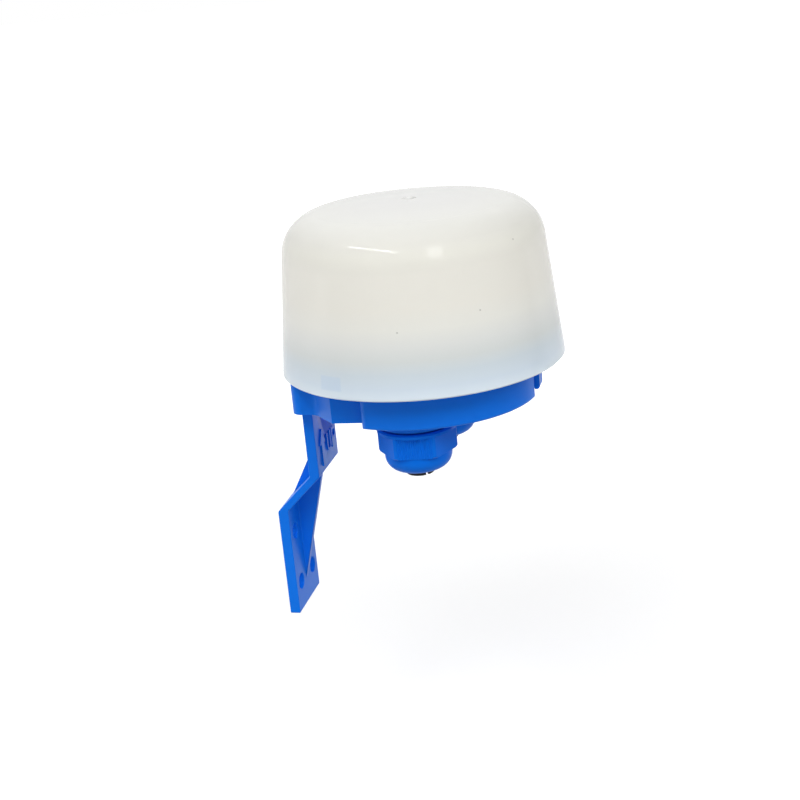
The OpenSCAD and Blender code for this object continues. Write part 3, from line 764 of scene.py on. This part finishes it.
def makeSpoutThread(spec):
    tree, sockets, given, out = newGeometryTree("spoutThread", [
        ("Start", "NodeSocketVector"), ("Apart", "NodeSocketVector"), ("Radius", "NodeSocketFloat"),
        ("Ridge", "NodeSocketFloat"), ("Pitch", "NodeSocketFloat"), ("Turns", "NodeSocketFloat")])
    rise = addNode(tree, "ShaderNodeMath", (-650, -200), operation="MULTIPLY")
    winding = addNode(tree, "GeometryNodeCurveSpiral", (-400, 0))
    winding.inputs["Resolution"].default_value = spec["steps"]
    ridge = addNode(tree, "GeometryNodeCurvePrimitiveCircle", (-400, -300))
    ridge.inputs["Resolution"].default_value = spec["sides"]
    sweep = addNode(tree, "GeometryNodeCurveToMesh", (-100, 0))
    sweep.inputs["Fill Caps"].default_value = True
    places = addNode(tree, "GeometryNodeMeshLine", (-100, 300))
    places.inputs["Count"].default_value = 2
    copies = addNode(tree, "GeometryNodeInstanceOnPoints", (250, 100))
    for start, end in [(given["Pitch"], rise.inputs[0]), (given["Turns"], rise.inputs[1]),
                       (given["Turns"], winding.inputs["Rotations"]),
                       (given["Radius"], winding.inputs["Start Radius"]),
                       (given["Radius"], winding.inputs["End Radius"]),
                       (rise.outputs[0], winding.inputs["Height"]), (given["Ridge"], ridge.inputs["Radius"]),
                       (winding.outputs[0], sweep.inputs["Curve"]),
                       (ridge.outputs[0], sweep.inputs["Profile Curve"]),
                       (given["Start"], places.inputs["Start Location"]),
                       (given["Apart"], places.inputs["Offset"]),
                       (places.outputs[0], copies.inputs["Points"]),
                       (sweep.outputs[0], copies.inputs["Instance"])]:
        tree.links.new(start, end)
    closeTree(tree, copies.outputs[0], blueMoulding, out)
    values = {key: spec[key] * mm for key in ("Radius", "Ridge", "Pitch")}
    values.update(Start=fromHead(*spec["Start"]), Apart=Vector(spec["Apart"]) * mm, Turns=spec["Turns"])
    mesh = runTree(tree, sockets, values, bpy.data.meshes.new("threadSeed"), "spoutThread")
    mesh.polygons.foreach_set("use_smooth", [True] * len(mesh.polygons))
    addPiece("spoutThread", mesh, blueMoulding, "base_body")


# Solder joints round the leads, under the board

solderJoint = {"Foot": 0.95, "Tip": 0.42, "Height": 1.0, "low": 6.0, "sides": 14, "rings": 3}
leadPlaces = (
    [(21.5, y) for y in (-5, 0, 5)]    # terminals
    + [(6.5 + x, -3.9 + y) for x, y in ((-8, -6), (-8, 6), (8, 0), (2, -6), (2, 6))]    # relay
    + [(6 + x, 7.85) for x in (-7.5, 7.5)] + [(-8 + x, -7) for x in (-1.75, 1.75)]    # capacitors
    + [(-17.6 + x, 7.6 + y) for x in (-2.55, 2.55) for y in (-2.4, 2.4)]    # rectifier
    + [(-11, 9.1), (-6, 7.9)] + [(-7 + x, 1) for x in (-1.27, 0, 1.27)]    # varistor, transistor
    + [(-13.5, 1.5 + y) for y in (-1.7, 1.7)]    # light cell
    + [(x, y) for x in (-25, -16) for y in (-0.4, 2.1)]    # along the board
    + [(x, -6.5 + y) for x in (-14.2, -17, -19.8) for y in (-4.5, 4.5)]    # across it
)


def makeSolderJoints(spec, places):
    tree, sockets, given, out = newGeometryTree("solderJoints", [
        ("Foot", "NodeSocketFloat"), ("Tip", "NodeSocketFloat"), ("Height", "NodeSocketFloat")])
    cone = addNode(tree, "GeometryNodeMeshCone", (-400, 0))
    cone.inputs["Vertices"].default_value = spec["sides"]
    cone.inputs["Side Segments"].default_value = spec["rings"]
    copies = addNode(tree, "GeometryNodeInstanceOnPoints", (0, 0))
    copies.inputs["Rotation"].default_value = (math.pi, 0, 0)
    for start, end in [(given["Foot"], cone.inputs["Radius Bottom"]),
                       (given["Tip"], cone.inputs["Radius Top"]), (given["Height"], cone.inputs["Depth"]),
                       (given["Geometry"], copies.inputs["Points"]),
                       (cone.outputs["Mesh"], copies.inputs["Instance"])]:
        tree.links.new(start, end)
    solder = platedMetal("solder", srgb(186, 188, 190), 0.28)
    closeTree(tree, copies.outputs[0], solder, out)
    seed = bpy.data.meshes.new("jointSeed")
    seed.from_pydata([fromHead(x, y, spec["low"]) for x, y in places], [], [])
    values = {key: spec[key] * mm for key in ("Foot", "Tip", "Height")}
    mesh = runTree(tree, sockets, values, seed, "solderJoints")
    addPiece("solderJoints", mesh, solder, "base_body")


makeSoftBracket(softBracket)
makeSpoutThread(spoutThread)
makeSolderJoints(solderJoint, leadPlaces)
print("pieces finished")
